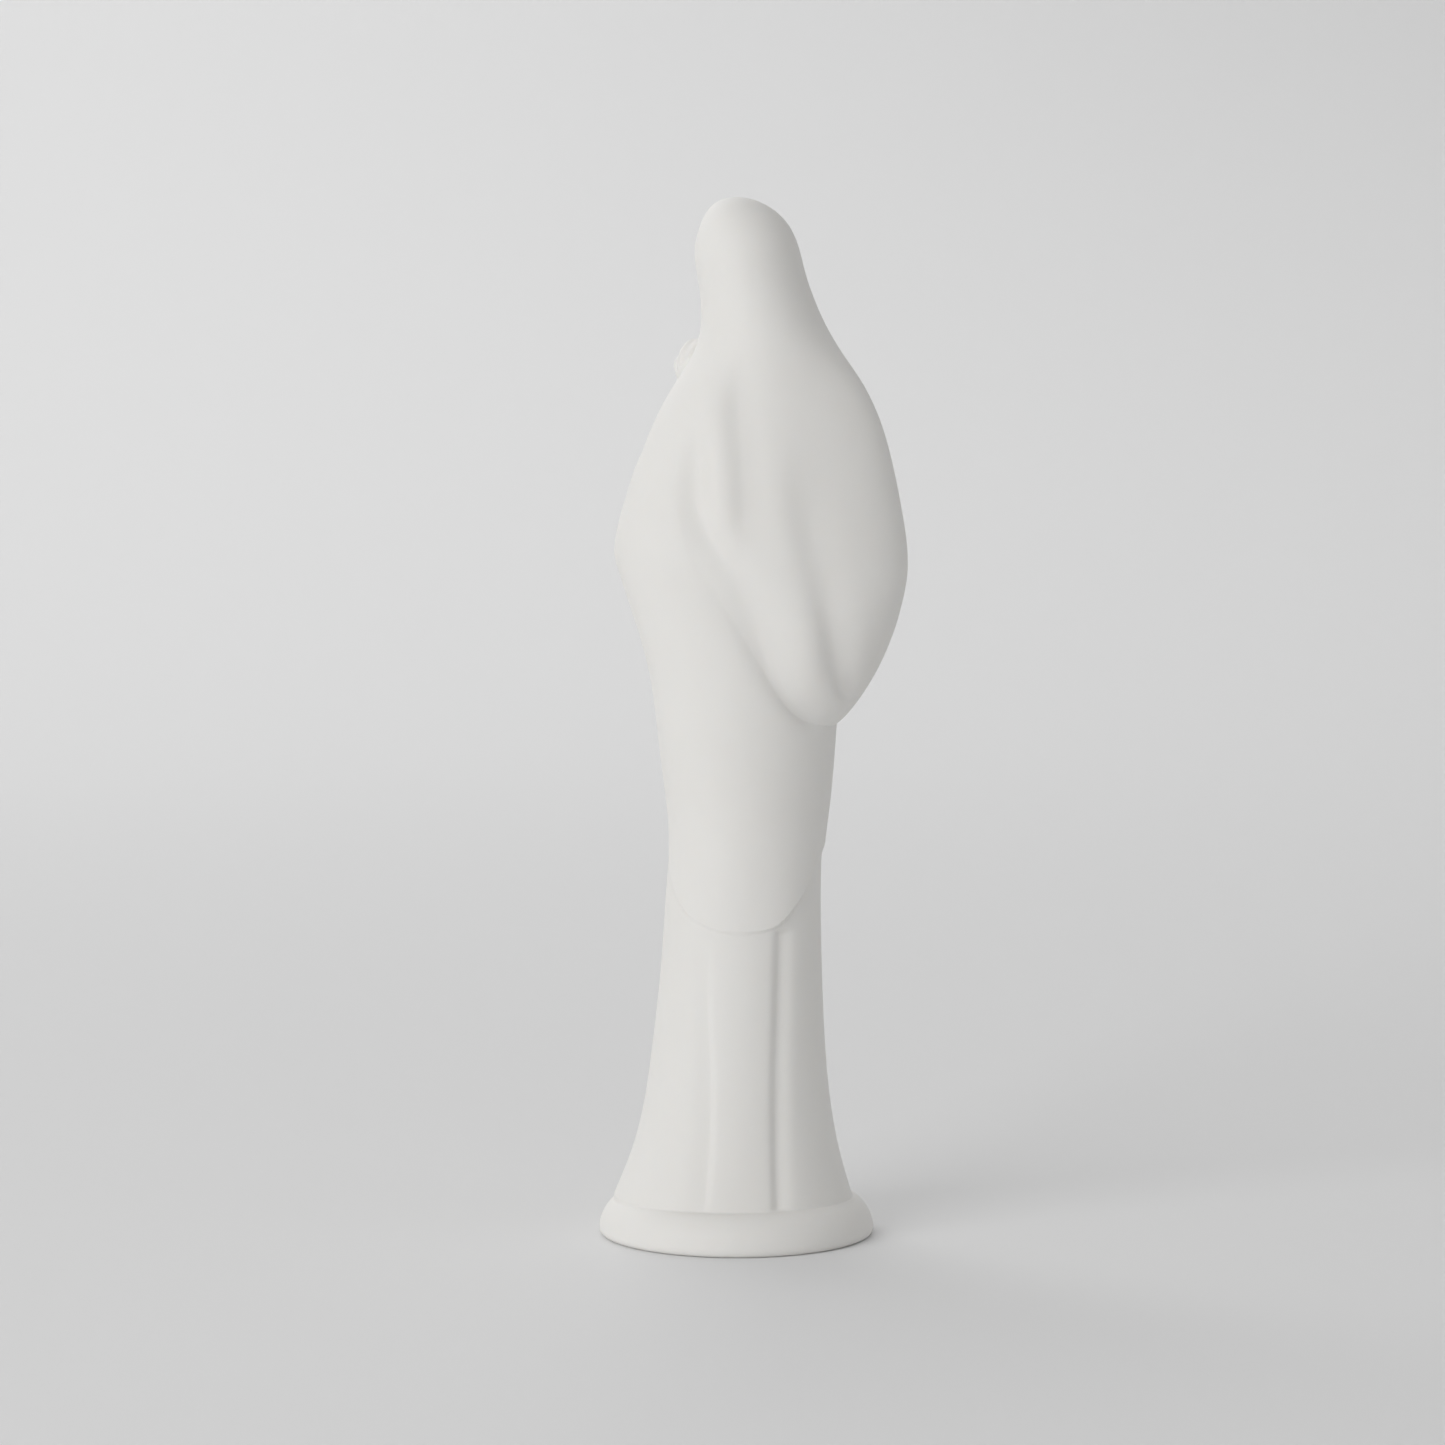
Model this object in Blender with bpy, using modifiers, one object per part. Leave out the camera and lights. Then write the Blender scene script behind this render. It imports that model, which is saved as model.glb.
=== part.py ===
"""Mother and child statuette: one slip-cast figure of matt bisque porcelain on a low round foot.

The mother looks along -Y, her left is +X, and the origin is the centre of the foot's underside.
The figure is one soft body: cross-sections that carry the mantle's layers and folds, joined to the
heads, arms and hands by fillets. Its skin is found on a grid, closed by a voxel remesh, settled on
that body, and thinned out to a light faceted solid.
"""

import math

import bpy
import numpy as np

# Driving sizes, in metres
HEIGHT = 0.280
BASE_DIAMETER = 0.0748
BASE_HEIGHT = 0.0105
BASE_LEDGE = 0.0080
BASE_EDGE = 0.0012
ROBE_INSET_LEFT = 0.0042
ROBE_INSET_RIGHT = 0.0060
ROBE_INSET_DEPTH = 0.0085

# Meshing: cells in metres, cells to a coarse block, blocks worked out finely, and the last faces
GRID = 0.00090
BLOCK = 4
BLOCK_REACH = 1.8
VOXEL = 0.00085
FACES = 9800

# The figure's own sizes are in thousandths of its height
SHARE = HEIGHT / 1000
FOOT = BASE_HEIGHT / SHARE
FOOT_RADIUS = BASE_DIAMETER / 2 / SHARE
CROWN = 1000.0
CAP = 938.0
REACH = max(FOOT_RADIUS, 168) + 6

# Height, and how far the body reaches to the mother's left, her right, her back and her front
SECTIONS = (
    (
        FOOT,
        FOOT_RADIUS - ROBE_INSET_LEFT / SHARE,
        FOOT_RADIUS - ROBE_INSET_RIGHT / SHARE,
        FOOT_RADIUS - ROBE_INSET_DEPTH / SHARE,
        FOOT_RADIUS - ROBE_INSET_DEPTH / SHARE,
    ),
    (70, 105.2, 102.6, 93.0, 93.0),
    (100, 95.6, 95.8, 86.0, 86.0),
    (150, 85.7, 88.7, 79.5, 80.0),
    (200, 79.3, 85.0, 75.0, 76.0),
    (250, 73.8, 82.9, 71.0, 73.0),
    (310, 69.4, 81.6, 69.0, 71.0),
    (350, 66.5, 81.6, 68.5, 71.0),
    (383, 64.0, 83.4, 68.0, 72.0),
    (420, 66.6, 88.2, 69.0, 74.0),
    (480, 74.9, 95.0, 72.0, 78.0),
    (540, 83.0, 101.0, 75.5, 82.0),
    (590, 96.0, 106.2, 77.5, 86.0),
    (630, 109.0, 108.5, 79.0, 88.0),
    (662, 115.4, 110.5, 80.0, 88.0),
    (700, 109.0, 113.0, 80.5, 86.0),
    (750, 92.8, 120.3, 78.0, 80.0),
    (788, 77.8, 123.1, 73.5, 74.0),
    (826, 56.8, 114.0, 67.0, 68.0),
    (850, 42.0, 101.2, 63.0, 65.0),
    (880, 34.0, 84.5, 57.5, 62.0),
    (912, 35.5, 70.9, 53.5, 61.0),
    (CAP, 39.5, 63.2, 52.0, 60.0),
    (955, 41.4, 60.4, 51.5, 59.0),
    (978, 44.8, 58.2, 51.0, 57.0),
    (CROWN, 54.0, 54.0, 51.0, 56.0),
)

# Turn in degrees from the back towards her right, then the mantle's lower edge, the height of its
# rounded lip, how thick it stands off the body, and how softly the lip ends
MANTLE = (
    (-150, 660, 60, 3.0, 1.6),
    (-120, 720, 60, 0.0, 1.8),
    (-90, 775, 60, 0.0, 1.8),
    (-50, 752, 80, 2.0, 1.8),
    (-38, 722, 90, 4.5, 1.8),
    (-28, 690, 100, 6.5, 1.8),
    (-14, 636, 100, 8.5, 1.7),
    (0, 584, 100, 10.0, 1.6),
    (12, 548, 100, 12.5, 1.5),
    (26, 518, 100, 20.0, 1.3),
    (42, 503, 115, 34.0, 1.1),
    (62, 497, 130, 51.0, 0.9),
    (90, 497, 150, 51.0, 0.8),
    (118, 504, 140, 44.0, 0.9),
    (140, 530, 110, 24.0, 1.2),
    (160, 566, 80, 12.0, 1.5),
    (180, 604, 60, 8.0, 1.6),
)
MANTLE_TOP = 862.0

# Turn, then the height of the under-mantle's hem and how far it stands off the robe
HEM = (
    (-165, 600, 3.2),
    (-150, 520, 3.4),
    (-125, 432, 2.6),
    (-95, 384, 1.6),
    (-60, 330, 1.0),
    (-25, 304, 0.9),
    (0, 300, 1.4),
    (15, 302, 2.2),
    (27, 307, 3.2),
    (42, 325, 3.6),
    (52, 339, 3.6),
    (68, 363, 2.8),
    (90, 381, 2.6),
    (104, 396, 2.6),
    (130, 440, 3.2),
    (155, 520, 3.4),
    (175, 600, 3.2),
)

HEM_STEP = 3.5

# The mantle's opening round her face and down her chest: height, middle, half width and depth
OPENING = (
    (625, 2, 30, 0.0),
    (660, 0, 42, 4.0),
    (720, -4, 50, 5.0),
    (780, -8, 45, 6.5),
    (815, -10, 38, 11.0),
    (838, -10, 33, 18.0),
    (856, -10, 31, 26.0),
    (880, -10, 31, 27.0),
    (905, -10, 32, 22.0),
    (930, -9, 33, 17.0),
    (970, -8, 33, 12.0),
)
OPENING_TOP = {"start": 930.0, "tall": 36.0}
OPENING_STEP = 9.0

# Folds: course as (height, turn), depth (a ridge's is below zero), half widths on her left and right,
# and how softly the fold ends below and above
FOLDS = (
    (((38, 22.5), (95, 24.2), (142, 25.5), (189, 26.8), (237, 28.0), (303, 29.4)), 3.8, 6.0, 10.0, 6, 6),
    (((40, -15.0), (150, -19.0), (252, -26.3)), 2.5, 12.0, 5.0, 60, 180),
    (((712, 31.0), (669, 34.0), (641, 36.0), (612, 38.5), (583, 42.5), (554, 49.0), (523, 62.0)),
     1.9, 12.0, 13.0, 24, 100),
    (((612, 38.5), (583, 42.5), (554, 49.0), (523, 62.0)), 4.8, 11.0, 12.0, 24, 120),
    (((745, 12.0), (698, 18.8), (641, 24.8), (612, 27.0), (583, 29.0), (555, 32.0), (530, 38.8)),
     -2.4, 13.0, 12.0, 50, 90),
    (((829, -18.0), (782, -10.2), (754, -4.6), (726, -0.2), (698, 3.0), (670, 5.8)), 4.0, 10.0, 17.0, 90, 60),
    (((763, -32.0), (735, -27.6), (707, -21.0), (669, -7.4), (641, 1.0), (612, 6.2), (583, 10.4),
      (554, 17.2), (525, 30.0), (500, 46.0)), 6.2, 15.0, 17.0, 30, 60),
    (((778, -33.0), (735, -28.0), (700, -19.0), (660, -5.0)), 3.4, 13.0, 13.0, 50, 60),
    (((850, 62.0), (780, 65.0), (720, 68.0), (660, 68.0), (610, 66.0)), -8.0, 32.0, 24.0, 80, 60),
    (((44, 176.0), (200, 178.0), (400, 181.0), (590, 182.0)), 4.0, 4.0, 12.0, 30, 30),
    (((44, 152.0), (200, 157.0), (400, 166.0), (560, 172.0)), 3.2, 10.0, 7.0, 50, 50),
    (((44, 203.0), (200, 199.0), (400, 194.0), (590, 190.0)), 3.4, 7.0, 10.0, 50, 50),
    (((44, 228.0), (180, 221.0), (320, 212.0)), 2.4, 9.0, 9.0, 60, 60),
    (((44, 128.0), (180, 137.0), (320, 148.0)), 2.4, 9.0, 9.0, 60, 60),
    (((650, 164.0), (610, 146.0), (575, 126.0), (545, 104.0)), 6.0, 10.0, 10.0, 40, 40),
    (((640, 150.0), (620, 138.0), (600, 122.0)), 4.0, 9.0, 9.0, 24, 24),
    (((822, 168.0), (760, 162.0), (690, 166.0)), 2.6, 7.0, 8.0, 50, 50),
    (((800, 184.0), (740, 177.0), (680, 176.0)), 2.2, 7.0, 7.0, 50, 50),
)

# Neck, arms and the cloth that falls from them: points as (x, y, height, radius), then the fillet
LIMBS = (
    (((-13, -12, 900, 20), (-10, -16, 862, 18.5), (-6, -18, 830, 27)), 6),
    (((-104, 0, 716, 32), (-122, -14, 660, 33), (-74, -88, 664, 20)), 16),
    (((70, 0, 728, 24), (88, -16, 662, 25), (62, -88, 672, 19)), 14),
    (((-76, -80, 652, 15), (-90, -68, 600, 16), (-104, -46, 540, 14)), 14),
    (((66, -80, 656, 14), (72, -60, 590, 11), (67, -41, 520, 8), (58, -27, 430, 3)), 14),
)

# The child's body, gown, gown's hem, right and left foot, right and left arm
CHILD_LIMBS = (
    (((30, -72, 800, 17), (31, -77, 764, 22), (30, -84, 722, 28)), 6),
    (((27, -88, 716, 26), (12, -105, 706, 23), (-3, -111, 688, 19)), 8),
    (((10, -116, 676, 9), (-6, -121, 672, 8), (-18, -117, 682, 9)), 6),
    (((-16, -115, 680, 7.5), (-27, -114, 668, 6.6), (-38, -121, 664, 5.2)), 2),
    (((-3, -118, 672, 7.5), (-9, -118, 660, 6.6), (-20, -127, 657, 5.2)), 2),
    (((13, -79, 790, 13), (0, -93, 768, 12), (-12, -86, 780, 10)), 4),
    (((47, -79, 788, 13), (54, -95, 763, 12.5), (39, -105, 750, 10)), 4),
)
CHILD_FILLET = 4.0

# Creases in front view: points as (x, height), depth and half width
CHILD_CREASES = (
    (((12, 812), (22, 803), (34, 802), (46, 810)), 1.8, 1.6),
    (((8, 748), (22, 741), (38, 742), (54, 750)), 2.0, 2.2),
    (((24, 800), (25, 780), (22, 752)), 1.2, 2.6),
    (((36, 798), (38, 780), (40, 754)), 1.2, 2.6),
    (((18, 738), (4, 722), (-12, 704)), 2.2, 3.2),
    (((26, 738), (16, 720), (2, 700), (-6, 682)), 2.6, 3.2),
    (((36, 738), (30, 720), (20, 702), (8, 682)), 2.2, 3.2),
    (((46, 738), (45, 722), (36, 704)), 1.8, 3.0),
)
DRESS_CREASES = (
    (((-40, 860), (-30, 846), (-18, 838), (-6, 835), (6, 838), (16, 848)), 2.2, 3.2),
    (((-22, 826), (-20, 780), (-14, 720)), 1.8, 5.0),
    (((-8, 828), (-8, 770), (-6, 700)), 1.8, 5.0),
    (((-36, 800), (-32, 740), (-24, 700)), 1.4, 5.0),
)

# Hands: wrist, knuckles, fingertips, spread of the fingers, thumb's tip and finger radius
HANDS = (
    ((-72, -92, 660), (-50, -110, 652), (-15, -122, 645), (3.0, 4.5, -8.0), (-46, -122, 673), 4.6),
    ((60, -92, 670), (43, -110, 671), (10, -122, 669), (-1.0, 3.5, 8.6), (38, -120, 692), 4.6),
    ((-13, -86, 781), (-21, -82, 786), (-31, -77, 793), (1.5, -1.5, 4.1), (-18, -86, 795), 3.2),
    ((38, -106, 749), (29, -110, 744), (18, -113, 737), (1.5, -2.0, 4.0), (28, -113, 752), 3.2),
)
HAND_FILLET = 4.0

# Heads, each with its centre, how it is turned, and its features in its own left, front and up
HEADS = (
    {
        "centre": (-15, -14, 913), "yaw": 13, "pitch": 13, "roll": 6, "fillet": 3.0,
        "skull": (((0, -4, 4), (31.0, 43, 44), 0), ((0, 8, -20), (23.0, 28, 26.5), 8),
                  ((15, 21, -12), (12, 13, 14), 8), ((0, 27.0, -36.5), (8.5, 8.5, 8.5), 9)),
        "socket": ((12, 45, 7), (9.5, 11, 7.5), 5),
        "details": (((4.2, 39.6, -13.0), (3.0, 3.8, 2.8), 2.5), ((11.6, 32.6, 3.6), (7.4, 5.8, 5.2), 1.6),
                    ((0, 34.5, -19), (6.0, 4.5, 6.0), 4.0)),
        "ridges": ((((0, 34, 14, 4.0), (0, 39.6, 0, 3.0), (0, 44.2, -10.5, 3.9)), 5.0),
                   (((6.5, 35.0, 15.6, 1.2), (13, 34.6, 17.6, 1.4), (20, 29.6, 14.8, 1.0)), 6.0),
                   (((-7.6, 35.7, -24.8, 1.2), (0, 38.8, -23.4, 2.3), (7.6, 35.7, -24.8, 1.2)), 1.8),
                   (((-5.6, 35.8, -27.8, 1.6), (0, 38.0, -28.8, 2.7), (5.6, 35.8, -27.8, 1.6)), 1.8)),
        "creases": ((((5.0, 38, 2.0), (11.8, 40, -0.6), (19.0, 34, 2.2)), 1.9, 1.2),
                    (((5.5, 38, 9.8), (12, 39, 11.4), (19.5, 33, 9.2)), 1.0, 1.4),
                    (((-8.0, 37, -26.2), (0, 41, -26.2), (8.0, 37, -26.2)), 1.2, 1.0)),
        "hair": {"cap": ((0, -4, 4), (35.0, 46.5, 48)), "oval": (25.0, -5.0, 34.0), "behind": 4.0,
                 "strands": (32.0, 0.0), "groove": 0.8, "parting": 2.2, "edge": 2.0},
    },
    {
        "centre": (29.5, -76, 831), "yaw": -16, "pitch": 0, "roll": -8, "fillet": 2.5,
        "skull": (((0, -2, 3), (27.5, 30, 29), 0), ((0, 7, -14), (20, 19, 17.5), 7),
                  ((12.5, 14, -11), (10.5, 10.5, 10.5), 6), ((0, 21, -25), (5.5, 5.5, 5), 5)),
        "socket": ((10.5, 31, 1), (7.0, 6.6, 5.2), 4),
        "details": (((0, 28.5, -6.5), (3.8, 3.8, 3.0), 3), ((10.5, 22.9, -0.8), (6.0, 4.4, 4.4), 1.4)),
        "ridges": ((((-4.5, 25.0, -15.4, 1.2), (0, 27.0, -14.6, 1.9), (4.5, 25.0, -15.4, 1.2)), 1.3),
                   (((-3.5, 24.8, -18.4, 1.3), (0, 26.5, -19.0, 2.1), (3.5, 24.8, -18.4, 1.3)), 1.3)),
        "creases": ((((5.0, 26.5, -2.4), (10.5, 27, -4.0), (16.0, 23.5, -2.2)), 1.3, 1.0),
                    (((-5.2, 25.5, -16.9), (0, 28.5, -16.9), (5.2, 25.5, -16.9)), 1.2, 0.9)),
        "hair": {"cap": ((0, -3, 3), (29.6, 31.8, 31.2)), "oval": (22.5, -7.0, 23.5), "behind": 2.0,
                 "strands": (9.0, 13.0), "groove": 1.1, "parting": 0.0, "edge": 2.0},
    },
)


def spline(xs, ys):
    """A smooth curve through the points: a natural cubic spline, as a function."""
    xs, ys = np.asarray(xs, float), np.asarray(ys, float)
    step = np.diff(xs)
    slope = np.diff(ys) / step
    matrix = np.eye(len(xs))
    right = np.zeros(len(xs))
    for i in range(1, len(xs) - 1):
        matrix[i, i - 1 : i + 2] = step[i - 1], 2 * (step[i - 1] + step[i]), step[i]
        right[i] = 6 * (slope[i] - slope[i - 1])
    bend = np.linalg.solve(matrix, right)

    fine = np.linspace(xs[0], xs[-1], 1200)
    i = np.clip(np.searchsorted(xs, fine) - 1, 0, len(step) - 1)
    low, high = fine - xs[i], xs[i + 1] - fine
    cubic = (bend[i] * high**3 + bend[i + 1] * low**3) / (6 * step[i])
    start = (ys[i] / step[i] - bend[i] * step[i] / 6) * high
    end = (ys[i + 1] / step[i] - bend[i + 1] * step[i] / 6) * low
    values = cubic + start + end
    return lambda x: np.interp(x, fine, values)


def looped(turns, ys):
    """A smooth curve that runs all the way round: the values repeat every full turn."""
    turns, ys = np.asarray(turns, float), np.asarray(ys, float)
    xs = np.concatenate([turns - 360, turns, turns + 360])
    return spline(xs, np.tile(ys, 3))


SECTION_CURVES = [spline([s[0] for s in SECTIONS], [s[i] for s in SECTIONS]) for i in range(1, 5)]
MANTLE_CURVES = [looped([m[0] for m in MANTLE], [m[i] for m in MANTLE]) for i in range(1, 5)]
HEM_CURVES = [looped([h[0] for h in HEM], [h[i] for h in HEM]) for i in range(1, 3)]
OPENING_CURVES = [spline([o[0] for o in OPENING], [o[i] for o in OPENING]) for i in range(1, 4)]
FOLD_CURVES = []
for course, *shape in FOLDS:
    course = sorted(course)
    curve = spline([point[0] for point in course], [point[1] for point in course])
    FOLD_CURVES.append((curve, course[0][0], course[-1][0], *shape))


def smooth_step(x):
    x = np.clip(x, 0, 1)
    return x * x * (3 - 2 * x)


def section(height):
    """Centre and half size of the body's cross-section, across and in depth."""
    left, right, back, front = (curve(height) for curve in SECTION_CURVES)
    return (left - right) / 2, (left + right) / 2, (back - front) / 2, (back + front) / 2


def mantle(turn, height):
    """Thickness of the mantle that hangs from her right arm and is drawn across her back."""
    edge, lip, thick, soft = (curve(turn) for curve in MANTLE_CURVES)
    peak = edge + lip
    below = np.clip((peak - height) / lip, 0, 1)
    above = np.clip((height - peak) / (MANTLE_TOP - peak), 0, 1)
    profile = (1 - below**2) ** soft * np.cos(above * math.pi / 2) ** 2
    return np.maximum(thick, 0) * profile


def hem(turn, height, radius):
    """The under-mantle, a thin layer over the robe that ends in a soft lower edge."""
    edge, thick = (curve(turn) for curve in HEM_CURVES)
    steep = (HEM_CURVES[0](turn + 1) - HEM_CURVES[0](turn - 1)) / np.radians(2) / radius
    above = height - edge
    step = smooth_step(above / np.hypot(1, steep) / HEM_STEP)
    return thick * step * (1 - smooth_step((above - 10) / 130))


def fold(turn, height, radius, curve, low, high, depth, left, right, low_fade, high_fade):
    """A valley or ridge that runs down the cloth, with a half width on her left and on her right."""
    off = np.radians((turn - curve(height) + 180) % 360 - 180) * radius
    off = off / np.where(off < 0, left, right)
    ends = smooth_step((height - low) / low_fade + 0.5) * smooth_step((high - height) / high_fade + 0.5)
    return depth * np.exp(-(off**2)) * ends


def opening(x, height):
    """How deep the front is set back inside the mantle's opening, around the face and down the chest."""
    middle, half, deep = (curve(height) for curve in OPENING_CURVES)
    above = np.maximum(height - OPENING_TOP["start"], 0) / OPENING_TOP["tall"]
    inside = (1 - np.hypot((x - middle) / half, above)) * half
    return np.maximum(deep, 0) * smooth_step(inside / OPENING_STEP + 0.3)


def layers(turn, height, radius):
    """What the cloth adds to the plain body, outwards."""
    total = mantle(turn, height) + hem(turn, height, radius)
    for one in FOLD_CURVES:
        total = total - fold(turn, height, radius, *one)
    return total


def dome(height):
    """How far up the crown a height lies, from 0 where the cap starts to 1 at the top."""
    return np.clip((height - CAP) / (CROWN - CAP), 0, 1.5)


def body_distance(p):
    """How far each point lies outside the body's skin."""
    x, y, z = p.T
    cx, wide, cy, deep = section(z)
    u, v = (x - cx) / wide, (y - cy) / deep
    level = np.hypot(u, v) + 1e-9
    radius = np.hypot(x - cx, y - cy) / level
    turn = np.degrees(np.arctan2(-u, v))
    front = smooth_step(-3 * v / level - 0.2)
    return (np.hypot(level, dome(z)) - 1) * radius - layers(turn, z, radius) + opening(x, z) * front


def base_distance(p):
    """How far each point lies outside the foot: a disc whose upper edge is a quarter of an ellipse."""
    ledge = BASE_LEDGE / SHARE
    out = np.maximum(np.hypot(p[:, 0], p[:, 1]) - (FOOT_RADIUS - ledge), 0)
    return (np.hypot(out / ledge, np.maximum(p[:, 2], 0) / FOOT) - 1) * FOOT


def fused(a, b, fillet):
    """The union of two distances with a soft fillet between them."""
    share = np.clip(0.5 + 0.5 * (b - a) / fillet, 0, 1)
    return b + (a - b) * share - fillet * share * (1 - share)


def ball(p, centre, radii):
    """How far each point lies outside an egg of three half sizes."""
    q = (p - np.asarray(centre, float)) / np.asarray(radii, float)
    level = np.linalg.norm(q, axis=1) + 1e-9
    return level * (level - 1) / (np.linalg.norm(q / np.asarray(radii, float), axis=1) + 1e-9)


def limb(p, line):
    """How far each point lies outside a rounded limb that runs along a line and changes its radius."""
    best = np.full(len(p), 1e9)
    for start, end in zip(line, line[1:]):
        a, b = np.asarray(start, float), np.asarray(end, float)
        along = b[:3] - a[:3]
        share = np.clip((p - a[:3]) @ along / (along @ along), 0, 1)
        near = a[:3] + share[:, None] * along
        best = np.minimum(best, np.linalg.norm(p - near, axis=1) - a[3] - share * (b[3] - a[3]))
    return best


def limbs(p, lines):
    """Limbs fused with each other, each with its own fillet."""
    total = limb(p, lines[0][0])
    for line, fillet in lines[1:]:
        total = fused(total, limb(p, line), fillet)
    return total


def creases(p, lines):
    """How deep lines are cut into what faces the front."""
    cut = 0
    flat = p * (1, 0, 1)
    for line, depth, width in lines:
        off = limb(flat, [(x, 0, z, 0) for x, z in line])
        cut = cut + depth * np.exp(-((off / width) ** 2))
    return cut


def join(total, p, line, fillet, distance):
    """Fuses a form with the total, where the points lie near the form's line."""
    line = np.asarray(line, float)
    reach = line[:, 3:].max() + fillet + 4
    near = ((p > line[:, :3].min(0) - reach) & (p < line[:, :3].max(0) + reach)).all(1)
    if near.any():
        total[near] = fused(total[near], distance(p[near]), fillet)
    return total


def hand_lines(wrist, knuckles, tips, spread, thumb, radius):
    """The palm, four fingers and thumb of a hand, as limbs."""
    wrist, knuckles, tips, spread = (np.asarray(v, float) for v in (wrist, knuckles, tips, spread))
    lines = []
    for k, length in enumerate((0.86, 1.0, 0.96, 0.78)):
        side = spread * (k - 1.5) * radius / 4.6
        root = knuckles + side
        tip = root + (tips - knuckles) * length - side * 0.25
        middle = (root + tip) / 2 + (0, -radius * 0.8, radius * 0.3)
        lines.append(((*(wrist + side * 0.5), radius * 1.6), (*root, radius * 1.25)))
        lines.append(((*root, radius * 1.1), (*middle, radius), (*tip, radius * 0.75)))
    root = wrist + (knuckles - wrist) * 0.4 + spread / np.linalg.norm(spread) * radius
    lines.append(((*root, radius * 1.4), (*((root + thumb) / 2), radius * 1.1), (*thumb, radius * 0.8)))
    return lines


HAND_LINES = [hand_lines(*hand) for hand in HANDS]


def head_axes(head):
    """A head's own left, front and up: turned to her left, bowed, then tilted to her left."""
    yaw, pitch, roll = np.radians((head["yaw"], head["pitch"], head["roll"]))
    left = np.array((math.cos(yaw), math.sin(yaw), 0))
    front = np.array((math.sin(yaw), -math.cos(yaw), 0))
    up = np.array((0, 0, 1.0))
    front, up = front * math.cos(pitch) - up * math.sin(pitch), up * math.cos(pitch) + front * math.sin(pitch)
    left, up = left * math.cos(roll) - up * math.sin(roll), up * math.cos(roll) + left * math.sin(roll)
    return np.stack([left, front, up], axis=1)


def hair_distance(both, hair):
    """Hair as a cap over the skull, open round an oval face and combed into strands."""
    wide, low, tall = hair["oval"]
    level = np.hypot(both[:, 0] / wide, (both[:, 2] - low) / tall)
    angle = np.arctan2(both[:, 0], both[:, 2] - low)
    along, across = hair["strands"]
    comb = np.cos(along * (level + 0.02 * np.sin(6 * angle)) + across * angle)
    comb = comb * smooth_step((level - 1.04) / 0.2)
    parting = hair["parting"] * np.exp(-((both[:, 0] / 1.6) ** 2))
    cap = ball(both, *hair["cap"]) + hair["groove"] * comb + parting
    bare = np.minimum((1 - level) * wide, both[:, 1] - hair["behind"])
    return -fused(-cap, -bare, hair["edge"])


def head_distance(p, head):
    """A head with its face and hair. Features off the middle are made on both sides."""
    q = (p - np.asarray(head["centre"], float)) @ head_axes(head)
    both = q.copy()
    both[:, 0] = np.abs(q[:, 0])
    total = ball(both, *head["skull"][0][:2])
    for middle, radii, fillet in head["skull"][1:]:
        total = fused(total, ball(both, middle, radii), fillet)
    middle, radii, fillet = head["socket"]
    total = -fused(-total, ball(both, middle, radii), fillet)
    for middle, radii, fillet in head["details"]:
        total = fused(total, ball(both, middle, radii), fillet)
    for line, fillet in head["ridges"]:
        total = fused(total, limb(both if line[0][0] > 0 else q, line), fillet)
    for line, depth, width in head["creases"]:
        off = limb(both if line[0][0] > 0 else q, [(*point, 0) for point in line])
        total = total + depth * np.exp(-((off / width) ** 2))
    return fused(total, hair_distance(both, head["hair"]), 1.5)


def figure_distance(p):
    """How far each point lies outside the whole figure, in thousandths of the height."""
    total = fused(body_distance(p), base_distance(p), 1.2)
    for line, fillet in LIMBS:
        total = join(total, p, line, fillet, lambda q, line=line: limb(q, line))
    chest = (p[:, 1] < -20) & (p[:, 2] > 660) & (p[:, 2] < 880)
    total[chest] += creases(p[chest], DRESS_CREASES) * smooth_step((-20 - p[chest, 1]) / 15)
    points = [point for line, _ in CHILD_LIMBS for point in line]
    total = join(total, p, points, CHILD_FILLET, lambda q: limbs(q, CHILD_LIMBS) + creases(q, CHILD_CREASES))
    for lines in HAND_LINES:
        points = [point for line in lines for point in line]
        fingers = [(line, 1.3) for line in lines]
        total = join(total, p, points, HAND_FILLET, lambda q, fingers=fingers: limbs(q, fingers))
    for head in HEADS:
        line = ((*head["centre"], head["skull"][0][1][2] + 8),)
        total = join(total, p, line, head["fillet"], lambda q, head=head: head_distance(q, head))
    return -fused(-total, p[:, 2], BASE_EDGE / SHARE * 2)


def grid_distances(low, high):
    """Distances at the corners of a grid, all of them coarsely and those near the surface finely."""
    grid = GRID / SHARE
    coarse = [np.arange(a, b + grid * BLOCK, grid * BLOCK) for a, b in zip(low, high)]
    places = np.stack(np.meshgrid(*coarse, indexing="ij"), axis=-1)
    rough = figure_distance(places.reshape(-1, 3)).reshape(places.shape[:3])
    nearest = [np.round(np.arange((len(line) - 1) * BLOCK + 1) / BLOCK).astype(int) for line in coarse]
    distances = rough[np.ix_(*nearest)]
    close = np.abs(distances) < grid * BLOCK * BLOCK_REACH
    distances[close] = figure_distance(low + grid * np.argwhere(close))
    return distances, grid


def skin(low, high):
    """The figure's skin: a point in each cell that the surface crosses, a face round each crossed edge."""
    distances, grid = grid_distances(low, high)
    cells, crossings = [], []
    steps = np.eye(3, dtype=int)
    for axis in range(3):
        along, one, other = steps[axis], steps[(axis + 1) % 3], steps[(axis + 2) % 3]
        size = distances.shape[axis]
        start, end = (distances.take(range(k, size - 1 + k), axis) for k in (0, 1))
        edges = (start < 0) != (end < 0)
        corner, a, b = np.argwhere(edges), start[edges], end[edges]
        ring = np.stack([corner, corner - one, corner - one - other, corner - other], axis=1)
        ring[a > 0] = ring[a > 0, ::-1]
        cells.append(ring.reshape(-1, 3))
        crossings.append(np.repeat(corner + (a / (a - b))[:, None] * along, 4, axis=0))
    cells, crossings = np.vstack(cells), np.vstack(crossings)
    index = np.unique(np.ravel_multi_index(cells.T, distances.shape), return_inverse=True)[1].ravel()
    points = np.stack([np.bincount(index, column) for column in crossings.T], axis=1)
    return low + grid * points / np.bincount(index)[:, None], index.reshape(-1, 4)


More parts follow.
